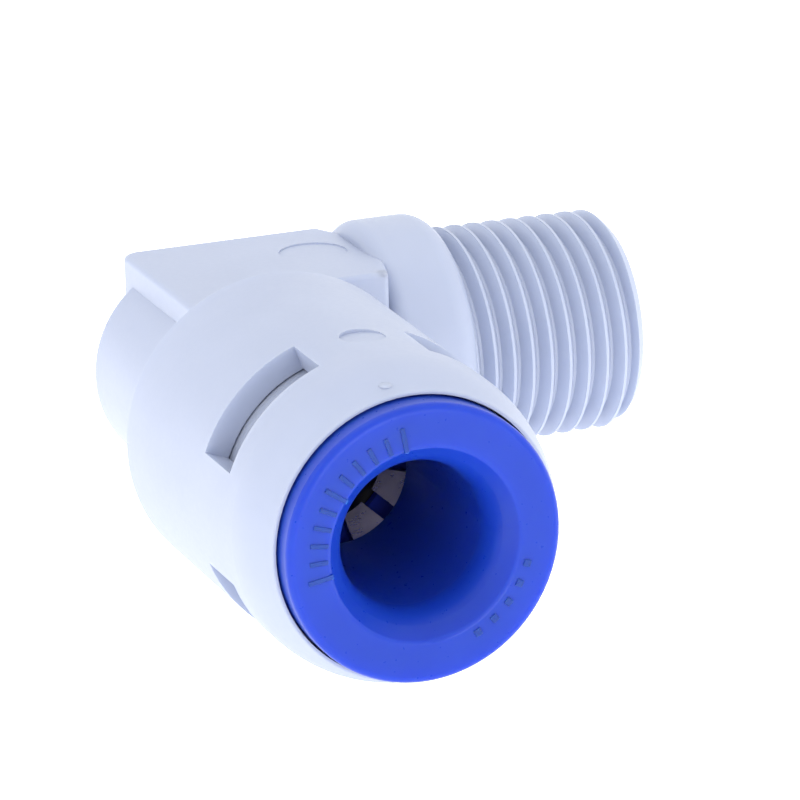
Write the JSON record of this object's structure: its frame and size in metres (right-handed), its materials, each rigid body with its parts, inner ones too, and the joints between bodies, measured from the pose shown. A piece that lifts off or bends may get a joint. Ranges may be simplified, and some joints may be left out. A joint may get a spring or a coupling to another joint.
{
  "type": "push to connect fitting",
  "caption": "Right-angle plastic fitting with a push-in tube socket, blue release collet, wrench block and tapered male pipe thread.",
  "frame": {"origin": "centre of the collar's front face on the thread axis, where the male thread starts", "axes": "+X out along the male thread, -Y out of the tube socket's mouth, +Z square to both, out of one wrench flat"},
  "size_m": [0.027, 0.033, 0.0144],
  "materials": {
    "white_body": "satin moulded acetal",
    "white_insert": "satin moulded acetal",
    "blue_collet": "satin moulded acetal",
    "stainless": "stamped",
    "blue_support": "satin moulded acetal",
    "black_rubber": "smooth"
  },
  "bodies": {
    "fitting": {"elbow_body": "white_body", "retaining_insert": "white_insert", "support_ring": "blue_support", "o_ring": "black_rubber"},
    "grip": {"grab_ring": "stainless"},
    "collet": {"release_collet": "blue_collet"}
  },
  "joints": [
    {"name": "grip_spin", "type": "hinge", "parent": "fitting", "child": "grip", "pos_m": [-0.01123, -0.0158, 0], "axis": [0, -1, 0], "continuous": true},
    {"name": "collet_press", "type": "slide", "parent": "grip", "child": "collet", "axis": [0, 1, 0], "range_m": [0, 0.001]}
  ]
}
